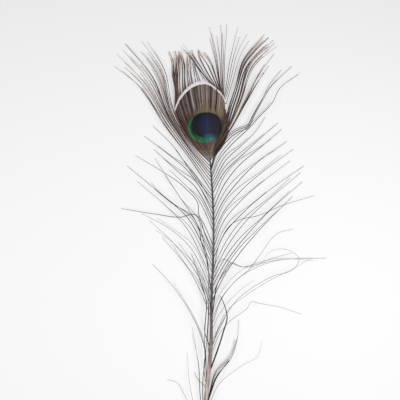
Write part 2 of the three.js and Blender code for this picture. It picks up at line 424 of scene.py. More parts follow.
RIM_LAST_ORDER = 10.2
RIM_ENDING = 0.3
RIM_SOFTNESS = 0.2
EYE_STEPS = 36
CROWN_STEPS = 30
WEB_SURFACE = 0.95
WEB_DOME = 0.45
WEB_RISE = 0.25
WEB_UNDERSIDE = 0.15
WEB_COLUMNS, WEB_ROWS = 96, 50
BACKING_START = 0.14
BACKING_DROP = 0.2
RIDGE_DEPTH = 0.08
RIDGES_PER_GUIDE = 11
FIRST_ORDER, LAST_ORDER = -0.45, len(CROWN_GUIDES) - 1.0
LEFT_EYE_BARBS, RIGHT_EYE_BARBS = 66, 58
EYE_SCATTER = 0.012
EYE_BARB_HALF = 0.1
# Barbules in the eye: their length, how many to the millimetre, half width and half depth, angle and turn.
EYE_FLUE = 0.75
EYE_PER_MM = 3.6
EYE_SPIKE = (0.1, 0.03)
EYE_LEAN = 0.75
EYE_ROLL = 0.15
# Every barb is a tube of so many sides, and every barbule a closed, pointed spike of three sides.
TUBE_SIDES = 6
SPIKE_FACES = np.array([(0, 1, 2), (0, 3, 1), (1, 3, 2), (2, 3, 0)])
BARBULE_LENGTHS = (0.4, 1.25)
BARBULE_LEAN_SPREAD = 0.25
SHORTEST_BARBULE = 0.05
# Streaks run down the eye at these places in the order of the guides: the middle, the half width, and how
# pale above 0 or how dark below 0.
EYE_STREAKS = (
    (3.0, 0.13, 1.9), (4.45, 0.08, 0.8), (8.6, 0.1, 0.9), (2.1, 0.05, 0.5), (9.6, 0.05, 0.5),
    (5.2, 0.08, 0.5), (6.05, 0.2, -1.3), (7.5, 0.26, -2.2), (2.5, 0.25, -0.6), (1.2, 0.3, -0.5),
    (3.35, 0.12, -0.9), (0.2, 0.2, -0.4),
)


def from_rim(guide):
    """A guide with its first place moved outwards, from the middle of the pale rim to its outer edge."""
    outwards = np.subtract(guide[0], EYE_MIDDLE)
    return [guide[0] + RIM_OUTSET * outwards / np.linalg.norm(outwards), *guide[1:]]


guide_tracks = np.stack([smooth_through(from_rim(guide), CROWN_STEPS) for guide in CROWN_GUIDES])
rim_places = guide_tracks[:, 0]


def between_tracks(tracks, order):
    """Tracks at fractional places in their order, as even blends of the two next to each, or past the
    last one by going on in the same way."""
    low = np.clip(np.floor(order).astype(int), 0, len(tracks) - 2)
    part = (order - low).reshape(np.shape(order) + (1,) * (tracks.ndim - np.ndim(order)))
    if np.ndim(order) == 2:
        step = np.arange(tracks.shape[1])[None]
        return tracks[low, step] * (1 - part) + tracks[low + 1, step] * part
    return tracks[low] * (1 - part) + tracks[low + 1] * part


def eye_places(order, share):
    """Places on the eye's barbs, by their order and by the share of the way from shaft to rim. Each barb
    is the straight line between its ends plus a parabola that bows it outwards. Outer barbs leave the
    shaft lower. The share is one row for all barbs, or a row for each."""
    ends = between_tracks(rim_places, order)
    spread = ends[:, 0] - shaft_across(ROOT_HIGH)
    outermost = np.where(spread < 0, LEFT_SPREAD, RIGHT_SPREAD)
    root = ROOT_HIGH - (ROOT_HIGH - ROOT_LOW) * np.clip(np.abs(spread) / outermost, 0, 1) ** ROOT_CROWDING
    roots = np.stack([shaft_across(root) + np.sign(spread) * ROOT_GAP, root], axis=1)
    chord = ends - roots
    outwards = np.stack([chord[:, 1], -chord[:, 0]], axis=1) / np.linalg.norm(chord, axis=1, keepdims=True)
    share = np.broadcast_to(share, (len(order), np.shape(share)[-1]))
    bow = EYE_BOW * spread[:, None] * 4 * share * (1 - share)
    return roots[:, None] + chord[:, None] * share[..., None] + outwards[:, None] * bow[..., None]


def eye_level(share):
    """Height of the eye's barbs over the table: a shallow half sine, and a rise by the cube of the way."""
    return WEB_SURFACE + WEB_DOME * np.sin(np.pi * share) + WEB_RISE * share**3


def streak_at(order):
    """How pale, above 0, or how dark, below 0, the eye is at a place in the order: a sum of bells."""
    middles, halves, amounts = (np.array(column) for column in zip(*EYE_STREAKS))
    return (amounts * np.exp(-(((order[..., None] - middles) / halves) ** 2))).sum(axis=-1)


def rim_gap(order, share):
    """Millimetres left along a barb to the rim's outer edge: the rest of its chord, plus what the rim
    loses in breadth by the square of the order from its top, plus a smooth step to twice its breadth past
    its last order."""
    chord = np.linalg.norm(between_tracks(rim_places, order) - (shaft_across(ROOT_HIGH), ROOT_LOW), axis=-1)
    thinned = RIM_THINNING * (order - RIM_TOP_ORDER) ** 2
    ended = 2 * RIM_BREADTH * smooth_step((order - RIM_LAST_ORDER) / RIM_ENDING)
    return (1 - share) * chord + thinned + ended


def along_tracks(tracks, barb, share):
    """Places on barbs' tracks at shares of the way: an even blend of the steps before and after."""
    at = share * (tracks.shape[1] - 1)
    low = np.minimum(at.astype(int), tracks.shape[1] - 2)
    return tracks[barb, low] + (tracks[barb, low + 1] - tracks[barb, low]) * (at - low)[..., None]


def barb_mesh(tracks, half, flue, per_mm, spike, lean, roll, draw):
    """Corners and faces of barbs, and each corner's barb and share. A barb is a tube along its track, of
    so many sides and a half width for each barb and step. Its barbules are closed three-sided spikes in
    two rows. Flue is their length, per_mm their number on each side, spike their half width and half
    depth, lean their angle to the barb and roll how far they may turn out of the feather's plane."""
    count, steps, _ = tracks.shape
    share = np.linspace(0, 1, steps)
    ahead = np.gradient(tracks, axis=1)
    ahead /= np.linalg.norm(ahead, axis=2, keepdims=True)
    beside = np.cross(ahead, [0.0, 0.0, 1.0])
    beside /= np.linalg.norm(beside, axis=2, keepdims=True)
    above = np.cross(beside, ahead)
    angle = np.arange(TUBE_SIDES) * 2 * np.pi / TUBE_SIDES
    ring = beside[:, :, None] * np.cos(angle)[:, None] + above[:, :, None] * np.sin(angle)[:, None]
    tube = (tracks[:, :, None] + ring * half[..., None, None]).reshape(-1, 3)
    starts = (np.arange(count) * steps * TUBE_SIDES)[:, None, None]
    walls = (grid_faces(steps, TUBE_SIDES, True)[None] + starts).reshape(-1, 4)
    caps = (end_caps(steps, TUBE_SIDES)[None] + starts).reshape(-1, TUBE_SIDES)

    run = np.linalg.norm(np.diff(tracks, axis=1), axis=2).sum(axis=1)
    number = np.maximum((run * per_mm).astype(int), 1)
    barb = np.repeat(np.arange(count), 2 * number)
    hand = np.concatenate([np.repeat([-1.0, 1.0], n) for n in number])
    place = np.concatenate([np.tile((np.arange(n) + 0.5) / n, 2) for n in number])
    place = np.clip(place + draw.uniform(-0.5, 0.5, len(place)) / number[barb], 0, 1)

    def at_spikes(field):
        """A number or a direction of the barbs' steps, at each barbule's foot."""
        return along_tracks(field, barb, place)

    length = at_spikes(flue[..., None])[:, 0] * draw.uniform(*BARBULE_LENGTHS, len(place))
    lean_each = lean + draw.normal(0, BARBULE_LEAN_SPREAD, len(place))
    roll_each = draw.uniform(-roll, roll, len(place))
    out = at_spikes(beside) * (hand * np.cos(roll_each))[:, None]
    out += at_spikes(above) * np.sin(roll_each)[:, None]
    way = at_spikes(ahead) * np.cos(lean_each)[:, None] + out * np.sin(lean_each)[:, None]
    broad = np.cross(way, at_spikes(above))
    broad /= np.linalg.norm(broad, axis=1, keepdims=True)
    through = np.cross(broad, way)
    foot = [
        at_spikes(tracks) + broad * spike[0] * np.cos(turn) + through * spike[1] * np.sin(turn)
        for turn in np.array([0, 2, 4]) * np.pi / 3
    ]
    kept = length > SHORTEST_BARBULE
    spikes = np.stack([*foot, at_spikes(tracks) + way * length[:, None]], axis=1)[kept].reshape(-1, 3)
    spike_starts = (len(tube) + np.arange(kept.sum()) * 4)[:, None, None]
    spike_faces = (SPIKE_FACES[None] + spike_starts).reshape(-1, 3)
    corners = np.concatenate([tube, spikes])
    owner = np.concatenate([np.repeat(np.arange(count), steps * TUBE_SIDES), np.repeat(barb[kept], 4)])
    shares = np.concatenate([np.tile(np.repeat(share, TUBE_SIDES), count), np.repeat(place[kept], 4)])
    return corners, [walls, caps, spike_faces], owner, shares


# Lengths in the eye's pattern are millimetres from the heart's middle, and colours are display values.
HEART_HALF = (10.2, 8.7)
HEART_ROUNDNESS = 2.3
CRESCENT_MIDDLE = (-1.2, -2.2)
CRESCENT_HALF = (12.2, 10.8)
CRESCENT_ACROSS = 26.0
CRESCENT_STOPS = (
    (0.0, (32, 70, 46)), (0.14, (32, 86, 52)), (0.3, (40, 120, 74)), (0.5, (46, 118, 96)),
    (0.63, (62, 128, 138)), (0.75, (34, 66, 70)), (1.0, (32, 42, 38)),
)
FRAY = 0.9
RIM_PALE = paint(253, 245, 250)

web = Finish("eye_web_shimmer", roughness=0.5, gloss=0.3)
web_x = web.mark("eye_x")
web_shade = web.mark("barb_shade")
web_streak = web.mark("streak")
# Each barb carries the pattern up or down by up to half the fray, so its colours meet in ragged lines.
web_y = web.math("MULTIPLY_ADD", web_shade, FRAY, web.math("ADD", web.mark("eye_y"), -FRAY / 2))


def oval(x, y, middle, half, roundness):
    """Distance from an oval's middle as a share of its half widths: 1 on its edge. Its sides are the
    flatter the greater the roundness is above 2."""
    across = web.math("ABSOLUTE", web.math("DIVIDE", web.math("SUBTRACT", x, middle[0]), half[0]))
    along = web.math("ABSOLUTE", web.math("DIVIDE", web.math("SUBTRACT", y, middle[1]), half[1]))
    powers = web.math("ADD", web.math("POWER", across, roundness), web.math("POWER", along, roundness))
    return web.math("POWER", powers, 1 / roundness)


heart = oval(web_x, web_y, (0.0, 0.0), HEART_HALF, HEART_ROUNDNESS)
crescent = oval(web_x, web_y, CRESCENT_MIDDLE, CRESCENT_HALF, 2.0)

# Heart: near black, with a dark blue strip up its middle and a teal foot.
heart_strip = web.step(web.math("ABSOLUTE", web.math("ADD", web_x, 1.6)), 5.5, 1.5)
heart_strip = web.product(heart_strip, web.step(heart, 1.0, 0.3))
heart_colour = web.mix(heart_strip, paint(34, 30, 44), paint(34, 44, 82))
heart_foot = web.product(web.step(web_y, -5.5, -8.5), web.step(web_x, -3.5, 0.0), web.step(web_x, 6.5, 3.0))
heart_colour = web.mix(heart_foot, heart_colour, paint(44, 92, 120))

# Crescent: green to teal from left to right, brighter along its left edge, dark beside the heart and in
# the dark barbs, and olive outside.
crescent_colour = web.ramp(web.math("MULTIPLY_ADD", web_x, 1 / CRESCENT_ACROSS, 0.5), CRESCENT_STOPS)
crescent_bright = web.product(web.step(crescent, 0.8, 0.92), web.step(web_x, 2.0, -5.0))
crescent_colour = web.mix(crescent_bright, crescent_colour, paint(66, 150, 92))
crescent_colour = web.mix(web.step(heart, 1.09, 1.0), crescent_colour, paint(26, 46, 52))
crescent_spots = web.product(web.step(web_shade, 0.55, 0.1), 0.55)
crescent_colour = web.mix(crescent_spots, crescent_colour, paint(22, 50, 40))
crescent_colour = web.mix(web.step(crescent, 0.93, 1.02), crescent_colour, paint(70, 78, 44))

# Field: bronze below the heart and paler towards its foot, tan above, greyer at both sides, with gold over
# the heart and darker patches.
field_low = web.mix(web.step(web_x, -2.0, 12.0), paint(98, 66, 60), paint(106, 84, 68))
field_low = web.mix(web.step(web_y, -16.5, -19.0), field_low, paint(118, 104, 80))
field_low = web.mix(web.step(web_y, -20.5, -23.0), field_low, paint(150, 142, 144))
field_high = web.mix(web.step(web_y, 12.0, 22.0), paint(146, 128, 104), paint(168, 144, 142))
field_edge = web.mix(web.step(web_x, -6.0, 8.0), paint(124, 102, 104), paint(140, 118, 102))
field_sides = web.step(web.math("ABSOLUTE", web.math("ADD", web_x, -1.5)), 5.0, 13.0)
field_high = web.mix(field_sides, field_high, field_edge)
field_colour = web.mix(web.step(web_y, 2.0, 9.0), field_low, field_high)
field_gold = web.product(web.step(heart, 1.16, 1.04), web.step(web_y, 5.0, 8.0))
field_colour = web.mix(field_gold, field_colour, paint(136, 132, 82))
field_patch = web.product(web.step(web.noise(per_mm=0.5, across=1.0, along=3.0), 0.48, 0.3), 0.55)
field_colour = web.mix(field_patch, field_colour, paint(84, 60, 58))

# The field lies round the crescent, and both lie round the heart.
beyond_crescent = web.math("MAXIMUM", web.step(crescent, 0.96, 1.06), web.step(web_y, 5.5, 9.0))
web_colour = web.mix(beyond_crescent, crescent_colour, field_colour)
web_colour = web.mix(web.step(heart, 0.97, 1.04), heart_colour, web_colour)

# Streaks, then single barbs, paler and darker than the pattern.
outer = web.step(heart, 1.1, 1.9)
pale_streak = web.product(web.step(web_streak, 0.05, 0.85), outer, web.step(web_y, -8.0, 2.0))
web_colour = web.mix(pale_streak, web_colour, paint(226, 214, 208))
dark_streak = web.product(web.step(web_streak, -0.05, -0.9), web.step(heart, 1.1, 1.45))
web_colour = web.mix(dark_streak, web_colour, paint(38, 30, 30))
dark_barb = web.product(web.step(web_shade, 0.5, 0.05), web.math("MULTIPLY_ADD", outer, 0.55, 0.2))
web_colour = web.mix(dark_barb, web_colour, paint(30, 24, 26))
light_barb = web.product(web.step(web_shade, 0.6, 1.0), outer, 0.7)
web_colour = web.mix(light_barb, web_colour, paint(198, 180, 166))

# The pale bare rim, which the darkest streaks break.
rim_bare = web.step(web.mark("rim_gap"), RIM_BREADTH + RIM_SOFTNESS, RIM_BREADTH - RIM_SOFTNESS)
rim_bare = web.product(rim_bare, web.step(web_streak, -1.5, -1.1))
web_colour = web.mix(rim_bare, web_colour, RIM_PALE)
web.set(web.shader.inputs["Base Color"], web_colour)

# Waves in the barbs' own shades: turns by the order, heights and offsets.
SHADE_WAVES = ((9.7, 1.0, 0.0), (17.3, 0.9, 1.3), (41.0, 0.7, 0.4))
SHADE_SWING = 0.24

eye_draw = np.random.default_rng(11)
middle_order = np.interp(shaft_across(ROOT_HIGH), rim_places[:, 0], np.arange(len(rim_places)))


def shade_at(order):
    """Each barb's own shade from 0 to 1: a half, and sine waves of the order that never fall in step."""
    waves = sum(height * np.sin(turns * order + offset) for turns, height, offset in SHADE_WAVES)
    return np.clip(0.5 + SHADE_SWING * waves, 0, 1)


def eye_marks(places, order, share):
    """What the web's finish reads: the way across and up from the heart's middle, the streak, the barb's
    own shade and the length left to the rim."""
    return {
        "eye_x": places[:, 0] - EYE_MIDDLE[0],
        "eye_y": places[:, 1] - EYE_MIDDLE[1],
        "streak": streak_at(order),
        "barb_shade": shade_at(order),
        "rim_gap": rim_gap(order, share),
    }


def web_backing(name, node, low_order, high_order):
    """The closed layer of barbules under the web's barbs, up to the bare rim: a slab on a grid of order
    by share, ridged like the barbs above it, with a flat underside."""
    order = np.linspace(low_order, high_order, WEB_COLUMNS)
    spread = np.abs(order - middle_order) / np.abs(order - middle_order).max()
    bare = (BACKING_START * spread**2)[:, None]
    end_gap = rim_gap(order, 1.0)
    reach = 1 - np.maximum(RIM_BREADTH - end_gap, 0) / (rim_gap(order, 0.0) - end_gap)
    share = bare + (reach[:, None] - bare) * np.linspace(0, 1, WEB_ROWS)
    flat = eye_places(order, share)
    ridge = RIDGE_DEPTH * np.abs(np.sin(np.pi * order * RIDGES_PER_GUIDE))[:, None]
    top = np.concatenate([flat, (eye_level(share) - BACKING_DROP - ridge)[..., None]], axis=2)
    under = np.concatenate([flat, np.full(flat.shape[:2] + (1,), WEB_UNDERSIDE)], axis=2)
    size = WEB_COLUMNS * WEB_ROWS
    upper = grid_faces(WEB_COLUMNS, WEB_ROWS, False)
    first, last = np.arange(WEB_ROWS), size - 1 - np.arange(WEB_ROWS)
    foot = np.arange(WEB_COLUMNS) * WEB_ROWS
    head = foot + WEB_ROWS - 1
    edge = np.concatenate([first[:-1], head[:-1], last[:-1], foot[::-1][:-1]])
    ahead = np.roll(edge, -1)
    walls = np.stack([edge, ahead, ahead + size, edge + size], axis=1)
    corners = np.concatenate([top.reshape(-1, 3), under.reshape(-1, 3)])
    orders = np.tile(np.repeat(order, WEB_ROWS), 2)
    shares = np.tile(share.ravel(), 2)
    # The upper and the under side lie in the two halves of the chart.
    row = np.repeat([np.linspace(low, low + 0.46, WEB_COLUMNS) for low in (0.02, 0.52)], WEB_ROWS)
    faces = [upper, upper[:, ::-1] + size, walls]
    marks = eye_marks(corners, orders, shares)
    make_piece(name, node, corners, faces, web.material, (shares, row), marks)


def eye_web(name, node, low_order, high_order, count):
    """The barbs of one web from shaft to rim, bare on the rim, over their backing."""
    order = np.linspace(low_order, high_order, count) + eye_draw.normal(0, EYE_SCATTER, count)
    share = np.linspace(0, 1, EYE_STEPS)
    level = np.broadcast_to(eye_level(share), (count, EYE_STEPS))
    tracks = np.concatenate([eye_places(order, share), level[..., None]], axis=2)
    half = np.full((count, EYE_STEPS), EYE_BARB_HALF)
    gap = rim_gap(np.repeat(order, EYE_STEPS), np.tile(share, count)).reshape(count, EYE_STEPS)
    flue = EYE_FLUE * (gap > RIM_BREADTH)
    corners, faces, owner, shares = barb_mesh(
        tracks, half, flue, EYE_PER_MM, EYE_SPIKE, EYE_LEAN, EYE_ROLL, eye_draw
    )
    marks = eye_marks(along_tracks(tracks, owner, shares), order[owner], shares)
    chart = (shares, (owner + 0.5) / count)
    make_piece(name + "_barbs", node, corners, faces, web.material, chart, marks)
    web_backing(name + "_backing", node, low_order, high_order)


eye_web("eye_left", "eye_web_left", FIRST_ORDER, middle_order, LEFT_EYE_BARBS)
eye_web("eye_right", "eye_web_right", middle_order, LAST_ORDER, RIGHT_EYE_BARBS)

# ------------------------------------------------------------------------------
# Crown above the eye. The eye's own barbs go on past the pale bare rim as loose brown barbs. They cling
# together in locks, of which one lies over its neighbours.
# ------------------------------------------------------------------------------
# Each lock: its node, its barbs, the strands they cling into, its first and last place in the guides' order
# on the rim and then at the tips, whether the pale rim shows at its foot, and its barbs' half width.
CROWN_LOCKS = (
    ("crown_top_lock_01", 9, 3, (-0.4, 0.5), (-0.3, 0.5), True, 0.25),
    ("crown_top_lock_02", 11, 3, (0.5, 1.6), (0.6, 1.4), True, 0.27),
    ("crown_top_lock_03", 8, 2, (1.6, 2.5), (1.6, 2.3), True, 0.27),
    ("crown_top_lock_04", 8, 3, (2.5, 3.5), (2.6, 3.4), True, 0.23),
    ("crown_top_lock_05", 6, 3, (3.5, 4.5), (3.6, 4.5), True, 0.2),
    ("stray_barb_01", 3, 1, (4.6, 5.5), (4.8, 5.2), True, 0.17),
    ("crown_top_lock_06", 8, 2, (5.6, 7.4), (5.6, 6.8), False, 0.27),
    ("crown_top_lock_07", 9, 3, (7.2, 9.6), (6.9, 8.3), False, 0.28),
    ("crown_top_lock_08", 4, 4, (8.6, 9.3), (8.7, 9.3), True, 0.25),
    ("crown_top_lock_09", 3, 3, (9.2, 9.7), (9.3, 9.6), True, 0.26),
    ("crown_top_lock_10", 4, 4, (9.7, 10.2), (9.7, 10.6), True, 0.25),
    ("crown_top_lock_11", 12, 3, (10.4, 11.0), (10.8, 11.3), False, 0.31),
)
RIM_LENGTH = 0.5
CROWN_JOIN = 0.5
CROWN_PULL, CROWN_LOOSENING = 0.95, 0.4
CROWN_REACH = (0.82, 1.04)
CROWN_RIPPLE = 0.8
CROWN_HALVES = (0.8, 1.1)
CROWN_FLUE = 0.24
# Barbules of the loose barbs: how many to the millimetre, half width and half depth, angle and turn.
LOOSE_PER_MM = 3.0
LOOSE_SPIKE = (0.035, 0.035)
LOOSE_LEAN = 0.62
LOOSE_ROLL = 0.9
# Loose barbs' own shades are a beta spread with these two shapes: most are near dark or near light.
LOOSE_SHADES = (0.6, 0.9)
RIPPLE_TURNS = (0.6, 1.8)
RIPPLE_WAVE = 0.35
ARCH_TO_LENGTH = 0.05
LEVEL_RISE = 2.0
LEVEL_START = 0.12
TIP_HEIGHT = 0.4
LOWEST = 0.25


def lift(flat, level, root_height, draw, wander=0.4):
    """Adds the height off the table to flat tracks: a straight fall from root to tip, half a sine of a
    twentieth of the barb's length, the rise of a barb that crosses others, and a slow drift of its own."""
    count, steps, _ = flat.shape
    share = np.linspace(0, 1, steps)[None]
    run = np.linalg.norm(np.diff(flat, axis=1), axis=2).sum(axis=1)[:, None]
    arch = ARCH_TO_LENGTH * run * np.sin(np.pi * share)
    rise = level * LEVEL_RISE * np.minimum(share / LEVEL_START, 1)
    root = np.broadcast_to(np.asarray(root_height, float), (count,))[:, None]
    drift = draw.normal(0, wander, (count, 1)) * np.sin(np.pi * share)
    drift = drift + draw.uniform(0, 1.0, (count, 1)) * share**3
    height = root + (TIP_HEIGHT - root) * share + arch + rise + drift
    return np.concatenate([flat, np.maximum(height, LOWEST)[..., None]], axis=2)


def cut_short(tracks, reach):
    """Each track cut off at a share of its length, with as many steps as before."""
    count, steps = tracks.shape[:2]
    return along_tracks(tracks, np.arange(count)[:, None], np.linspace(0, 1, steps)[None] * reach[:, None])


def beside_tracks(flat):
    """The direction to the right of flat tracks at each step: their slope, turned by a quarter."""
    ahead = np.gradient(flat, axis=1)
    ahead /= np.linalg.norm(ahead, axis=2, keepdims=True)
    return np.stack([ahead[..., 1], -ahead[..., 0]], axis=-1)


def ripple(flat, amount, draw):
    """Flat tracks moved sideways by a swing that grows as the square of the way, and by a sine wave of
    about a turn that grows evenly."""
    count, steps = flat.shape[:2]
    share = np.linspace(0, 1, steps)[None]
    turns = draw.uniform(*RIPPLE_TURNS, (count, 1))
    phase = draw.uniform(0, 2 * np.pi, (count, 1))
    swing = draw.normal(0, 1, (count, 1)) * share**2
    wave = RIPPLE_WAVE * share * np.sin(2 * np.pi * turns * share + phase)
    return flat + beside_tracks(flat) * (amount * (swing + wave))[..., None]


def loose_finish(name, dark, light, tip, painted_glint):
    """The finish of loose barbs. Each barb's own shade lies between dark and light, its tip turns to another
    colour, and noise patches of painted glint, a lighter colour that stands in for the barbs' sheen, lie
    over it. The bare start of a barb from the rim is pale."""
    sheet = Finish(name, roughness=0.55, gloss=0.3)
    colour = sheet.mix(sheet.mark("barb_shade"), paint(*dark), paint(*light))
    tipped = sheet.product(sheet.step(sheet.mark("along"), 0.55, 1.0), 0.8)
    colour = sheet.mix(tipped, colour, paint(*tip))
    # Painted glint: lighter noise patches painted into the colour in place of the barbs' iridescent sheen.
    painted_glint_mask = sheet.product(sheet.step(sheet.noise(per_mm=0.11, across=1.0, along=1.0), 0.5, 0.68), 0.55)
    colour = sheet.mix(painted_glint_mask, colour, paint(*painted_glint))
    colour = sheet.mix(sheet.step(sheet.mark("past_rim"), 0.8, 0.2), colour, RIM_PALE)
    sheet.set(sheet.shader.inputs["Base Color"], colour)
    return sheet.material


crown_top_finish = loose_finish(
    "crown_top_barbs", dark=(32, 25, 26), light=(126, 100, 94), tip=(170, 134, 110), painted_glint=(132, 102, 94)
)
crown_draw = np.random.default_rng(23)


def loose_barbs(name, node, tracks, half, flue, rim, finish, draw):
    """A piece of loose barbs. Half is each barb's half width, which is nine tenths of it at the foot and
    falls by the square of the way to about two fifths at the tip. Flue is the length of its barbules,
    half of it at the foot and all of it from halfway up. Rim is the length that stays bare and pale at
    the foot."""
    count, steps, _ = tracks.shape
    share = np.linspace(0, 1, steps)[None]
    run = np.linalg.norm(np.diff(tracks, axis=1), axis=2).sum(axis=1)[:, None]
    past_rim = share * run - rim if rim else np.ones((count, steps))
    halves = half[:, None] * (0.9 + 0.1 * np.minimum(share * 4, 1)) * (1 - 0.6 * share**2)
    flues = flue * (0.5 + 0.5 * np.minimum(share * 2, 1)) * (past_rim > 0)
    corners, faces, owner, shares = barb_mesh(
        tracks, halves, flues, LOOSE_PER_MM, LOOSE_SPIKE, LOOSE_LEAN, LOOSE_ROLL, draw
    )
    marks = {
        "along": shares,
        "barb_shade": draw.beta(*LOOSE_SHADES, count)[owner],
        "past_rim": shares * run[owner, 0] - rim if rim else np.ones(len(shares)),
    }
    make_piece(name, node, corners, faces, finish, (shares, (owner + 0.5) / count), marks)


def clinging(count, strands, pull):
    """Where each barb lies across its lock, from 0 to 1, at each step: evenly spread where the pull is 0,
    and in the middle of its strand where the pull is 1."""
    seat = (np.arange(count) + 0.5) / count
    strand = (np.floor(seat * strands) + 0.5) / strands
    return seat[:, None] + (strand - seat)[:, None] * pull[None]


def across_lock(ends, seat):
    """A place in the guides' order between the two ends of a lock, by a seat from 0 to 1."""
    return ends[0] + (ends[1] - ends[0]) * seat


def crown_lock(node, count, strands, foot, tip, has_rim, half):
    """One lock above the eye. Its barbs leave their places on the rim and lean over to the lock's own
    line by a cubic that is level where it meets it, halfway up. They are pulled into strands that loosen
    towards the tips."""
    share = np.linspace(0, 1, CROWN_STEPS)
    reached = np.minimum(share / CROWN_JOIN, 1)
    lean = (reached * (3 - reached**2) / 2)[:, None]
    pull = CROWN_PULL * np.minimum(share * 5, 1) * (1 - CROWN_LOOSENING * share**2)
    seat = clinging(count, strands, pull)
    roots = between_tracks(rim_places, across_lock(foot, seat[:, 0]))[:, None]
    flat = roots + (between_tracks(guide_tracks, across_lock(tip, seat)) - roots) * lean
    flat = cut_short(flat, crown_draw.uniform(*CROWN_REACH, count).clip(0, 1))
    flat = ripple(flat, CROWN_RIPPLE, crown_draw)
    level = 1.0 if node.startswith("stray") else 0.0
    tracks = lift(flat, level, eye_level(1.0), crown_draw)
    halves = half * crown_draw.uniform(*CROWN_HALVES, count)
    rim = RIM_LENGTH if has_rim else 0.0
    name = node + "_barbs"
    loose_barbs(name, node, tracks, halves, CROWN_FLUE, rim, crown_top_finish, crown_draw)


for crown_row in CROWN_LOCKS:
    crown_lock(*crown_row)

# ------------------------------------------------------------------------------
# Crown beside the eye. Long barbs leave the shaft below the eye, run up along its webs and fan out past it
# in a broad band of strands on the left and a closer one on the right, with olive and copper glints painted
# into their colour as lighter patches.
# ------------------------------------------------------------------------------
# Each lock: the height at which it leaves the shaft, the places it passes, its barbs and their strands.
LEFT_CROWN_LOCKS = (
    (210, [(-12, 232), (-28, 254), (-46, 282), (-66, 300)], 6, 2),
    (217, [(-11, 235), (-27, 258), (-42, 284), (-62, 307)], 7, 2),
    (222, [(-12, 239), (-26, 261), (-38, 291), (-58, 314)], 8, 2),
    (227, [(-12, 242), (-24.5, 265), (-32, 292), (-50, 317)], 8, 2),
)
RIGHT_CROWN_LOCKS = (
    (230, [(8.4, 239.5), (14, 247.8), (26.5, 270), (38, 292), (49, 307)], 5, 1),
    (232, [(8, 240.5), (13, 248.5), (23, 272), (31, 297), (50, 314)], 8, 2),
)
# The last lock on the right spreads halfway to this line, which has no barbs of its own.
RIGHT_CROWN_INNER = (234, [(7.6, 241.5), (12.4, 250), (19.5, 272), (25, 297), (44, 317)])
SIDE_STEPS = 40
SIDE_PULL, SIDE_LOOSENING = 0.97, 0.5
SIDE_REACH = (0.74, 1.0)
SIDE_RIPPLE = 1.1
SIDE_ROOTS = (204.0, 233.0)
SIDE_HALVES = (0.75, 1.15)
SIDE_FLUE = 0.18
LEFT_SIDE_HALF, RIGHT_SIDE_HALF = 0.25, 0.3
ROOT_DEPTH = 0.8


def root_across(height, side):
    """How far across a barb's root lies: a share of the shaft's half width from its middle, on one side."""
    return shaft_across(height) + side * shaft_half_width(height) * ROOT_DEPTH


def rooted(height, places, side):
    """A barb's places with its root put first."""
    return [(root_across(height, side), height), *places]


side_finish = loose_finish(
    "crown_side_barbs", dark=(36, 28, 29), light=(126, 100, 94), tip=(150, 128, 106), painted_glint=(130, 108, 88)
)
side_draw = np.random.default_rng(31)


def side_crown(locks, side, first_number, tracks, half):
    """The locks of one side of the crown, which lie between tracks at places in their order. Each lock's
    barbs are pulled into its strands, less so by the cube of the way to the tips."""
    pull = SIDE_PULL * (1 - SIDE_LOOSENING * np.linspace(0, 1, SIDE_STEPS) ** 3)
    for k, (_, _, count, strands) in enumerate(locks):
        flat = between_tracks(tracks, k - 0.5 + clinging(count, strands, pull))
        flat = cut_short(flat, side_draw.uniform(*SIDE_REACH, count))
        flat = ripple(flat, SIDE_RIPPLE, side_draw)
        root = np.clip(flat[:, 0, 1], *SIDE_ROOTS)
        flat[:, 0, 0] = root_across(root, side)
        node = f"crown_side_lock_{first_number + k:02d}"
        halves = half * side_draw.uniform(*SIDE_HALVES, count)
        lifted = lift(flat, 0.0, shaft_middle(root), side_draw)
        name = node + "_barbs"
        loose_barbs(name, node, lifted, halves, SIDE_FLUE, 0.0, side_finish, side_draw)


left_tracks = np.stack([smooth_through(rooted(*lock[:2], -1), SIDE_STEPS) for lock in LEFT_CROWN_LOCKS])
side_crown(LEFT_CROWN_LOCKS, -1, 1, left_tracks, LEFT_SIDE_HALF)
right_rows = (*RIGHT_CROWN_LOCKS, RIGHT_CROWN_INNER)
right_tracks = np.stack([smooth_through(rooted(*lock[:2], 1), SIDE_STEPS) for lock in right_rows])
side_crown(RIGHT_CROWN_LOCKS, 1, 5, right_tracks, RIGHT_SIDE_HALF)

# ------------------------------------------------------------------------------
# Vanes. Barbs without hooks leave both sides of the shaft at a narrow angle and curve outwards. Two or
# three that start apart soon cling into one strand and part again near their tips. Towards the quill they
# are fewer and finer.
# ------------------------------------------------------------------------------
# Each lock: the height at which it leaves the shaft, the places it passes, its barbs and their half width.
RIGHT_LOCKS = (
    (223, [
        (6.7, 234), (13.7, 243), (22, 249.5), (28.2, 252), (33, 261), (39, 272), (43, 279), (59, 296),
    ], 3, 0.31),
    (218, [(9, 231), (17, 240.5), (29, 252), (37, 261), (45, 270), (50, 280), (64, 291)], 2, 0.3),
    (213, [(14, 231), (24, 240), (34, 250), (41, 260)], 2, 0.29),
    (207, [(12, 221), (23, 232), (35, 243), (50, 256)], 2, 0.29),
    (197, [(12, 213), (22, 226), (35, 237), (52, 252)], 2, 0.3),
    (188, [(10, 199), (21, 214), (36, 229), (56, 243)], 2, 0.3),
    (179, [(11, 193), (23, 208), (40, 223), (60, 238)], 2, 0.25),
    (170, [(11, 186), (24, 202), (40, 216), (58, 230)], 2, 0.25),
    (162, [(12, 178), (26, 194), (42, 208), (68, 226)], 2, 0.26),
    (151, [(13, 168), (27, 187), (44, 203), (66, 221)], 2, 0.24),
    (142, [(11, 155), (23, 172), (40, 191), (67, 215)], 2, 0.25),
    (132, [(11, 147), (22, 164), (38, 183), (60, 205)], 2, 0.28),
    (120, [(11, 135), (24, 149), (42, 158), (84, 161)], 2, 0.13),
    (60, [(6.5, 79), (17, 92), (21, 104), (22, 118)], 4, 0.25),
    (53, [(8, 73), (24, 86), (36, 93), (39, 104)], 1, 0.12),
)
